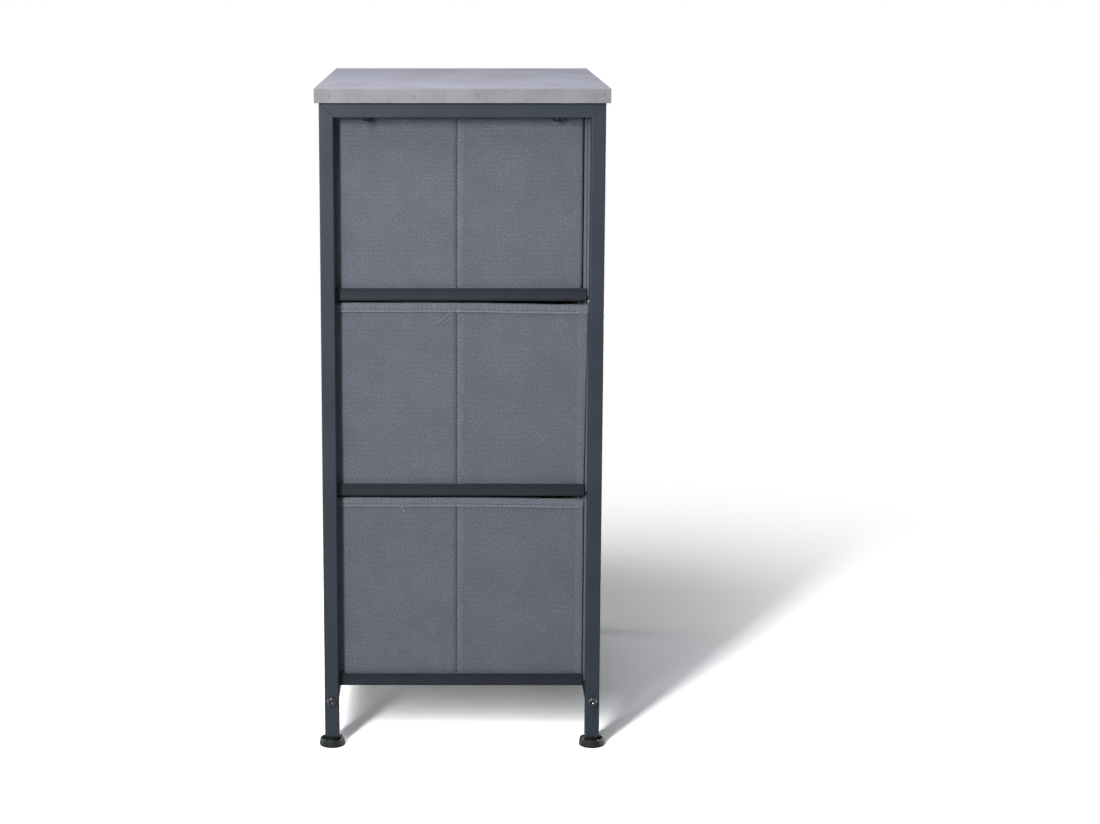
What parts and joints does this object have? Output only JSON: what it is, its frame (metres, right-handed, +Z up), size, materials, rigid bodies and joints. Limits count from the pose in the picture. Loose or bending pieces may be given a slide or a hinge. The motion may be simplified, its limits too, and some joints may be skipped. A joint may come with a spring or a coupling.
{
  "type": "fabric drawer dresser",
  "caption": "Narrow open-frame dresser: square tube side frames, a laminated board top and fabric bins that pull out on angle runners.",
  "frame": {"origin": "on the floor, under the middle of the dresser", "axes": "+Z up, -Y the way the bins pull out, X along the long side"},
  "size_m": [0.453, 0.303, 0.6948],
  "materials": {
    "laminate_board": "grey concrete-look laminate on fibreboard, satin",
    "frame_paint": "dark blue-grey powder coat, low gloss",
    "runner_paint": "dark blue-grey powder coat on folded sheet, low gloss",
    "black_screw": "blackened steel, half gloss",
    "foot_plastic": "black moulded plastic, half matt",
    "bin_fabric": "blue-grey non-woven fabric with a fine embossed grain",
    "lining_fabric": "thin blue-grey non-woven lining",
    "binding_fabric": "blue-grey non-woven tape, stitched over the rim",
    "greyboard": "raw greyboard",
    "fibreboard": "raw thin fibreboard",
    "pull_strap": "folded and stitched fabric strap, a little darker than the bin"
  },
  "bodies": {
    "frame": {"top_board": "laminate_board", "left_side_frame": "frame_paint", "right_side_frame": "frame_paint", "left_bottom_runner": "runner_paint", "left_middle_runner": "runner_paint", "left_top_runner": "runner_paint", "right_bottom_runner": "runner_paint", "right_middle_runner": "runner_paint", "right_top_runner": "runner_paint", "front_stretcher": "frame_paint", "rear_stretcher": "frame_paint", "left_front_board_screw": "black_screw", "left_rear_board_screw": "black_screw", "right_front_board_screw": "black_screw", "right_rear_board_screw": "black_screw", "left_front_stretcher_bolt": "black_screw", "left_rear_stretcher_bolt": "black_screw", "right_front_stretcher_bolt": "black_screw", "right_rear_stretcher_bolt": "black_screw"},
    "bottom_bin": {"bottom_bin_fabric_body": "bin_fabric", "bottom_bin_lining": "lining_fabric", "bottom_bin_rim_binding": "binding_fabric", "bottom_bin_left_rear_stiffener": "greyboard", "bottom_bin_left_front_stiffener": "greyboard", "bottom_bin_right_rear_stiffener": "greyboard", "bottom_bin_right_front_stiffener": "greyboard", "bottom_bin_back_stiffener": "greyboard", "bottom_bin_base_board": "fibreboard", "bottom_bin_front_board": "fibreboard", "bottom_bin_front_cover": "bin_fabric", "bottom_bin_strap_pull": "pull_strap"},
    "middle_bin": {"middle_bin_fabric_body": "bin_fabric", "middle_bin_lining": "lining_fabric", "middle_bin_rim_binding": "binding_fabric", "middle_bin_left_rear_stiffener": "greyboard", "middle_bin_left_front_stiffener": "greyboard", "middle_bin_right_rear_stiffener": "greyboard", "middle_bin_right_front_stiffener": "greyboard", "middle_bin_back_stiffener": "greyboard", "middle_bin_base_board": "fibreboard", "middle_bin_front_board": "fibreboard", "middle_bin_front_cover": "bin_fabric", "middle_bin_strap_pull": "pull_strap"},
    "top_bin": {"top_bin_fabric_body": "bin_fabric", "top_bin_lining": "lining_fabric", "top_bin_rim_binding": "binding_fabric", "top_bin_left_rear_stiffener": "greyboard", "top_bin_left_front_stiffener": "greyboard", "top_bin_right_rear_stiffener": "greyboard", "top_bin_right_front_stiffener": "greyboard", "top_bin_back_stiffener": "greyboard", "top_bin_base_board": "fibreboard", "top_bin_front_board": "fibreboard", "top_bin_front_cover": "bin_fabric", "top_bin_strap_pull": "pull_strap"},
    "left_front_foot": {"left_front_foot": "foot_plastic"},
    "left_rear_foot": {"left_rear_foot": "foot_plastic"},
    "right_front_foot": {"right_front_foot": "foot_plastic"},
    "right_rear_foot": {"right_rear_foot": "foot_plastic"}
  },
  "joints": [
    {"name": "bottom_bin_slide", "type": "slide", "parent": "frame", "child": "bottom_bin", "axis": [0, -1, 0], "range_m": [0, 0.2]},
    {"name": "middle_bin_slide", "type": "slide", "parent": "frame", "child": "middle_bin", "axis": [0, -1, 0], "range_m": [0, 0.2]},
    {"name": "top_bin_slide", "type": "slide", "parent": "frame", "child": "top_bin", "axis": [0, -1, 0], "range_m": [0, 0.2]},
    {"name": "left_front_foot_screw", "type": "slide", "parent": "frame", "child": "left_front_foot", "axis": [0, 0, -1], "range_m": [0, 0.01]},
    {"name": "left_rear_foot_screw", "type": "slide", "parent": "frame", "child": "left_rear_foot", "axis": [0, 0, -1], "range_m": [0, 0.01]},
    {"name": "right_front_foot_screw", "type": "slide", "parent": "frame", "child": "right_front_foot", "axis": [0, 0, -1], "range_m": [0, 0.01]},
    {"name": "right_rear_foot_screw", "type": "slide", "parent": "frame", "child": "right_rear_foot", "axis": [0, 0, -1], "range_m": [0, 0.01]}
  ]
}
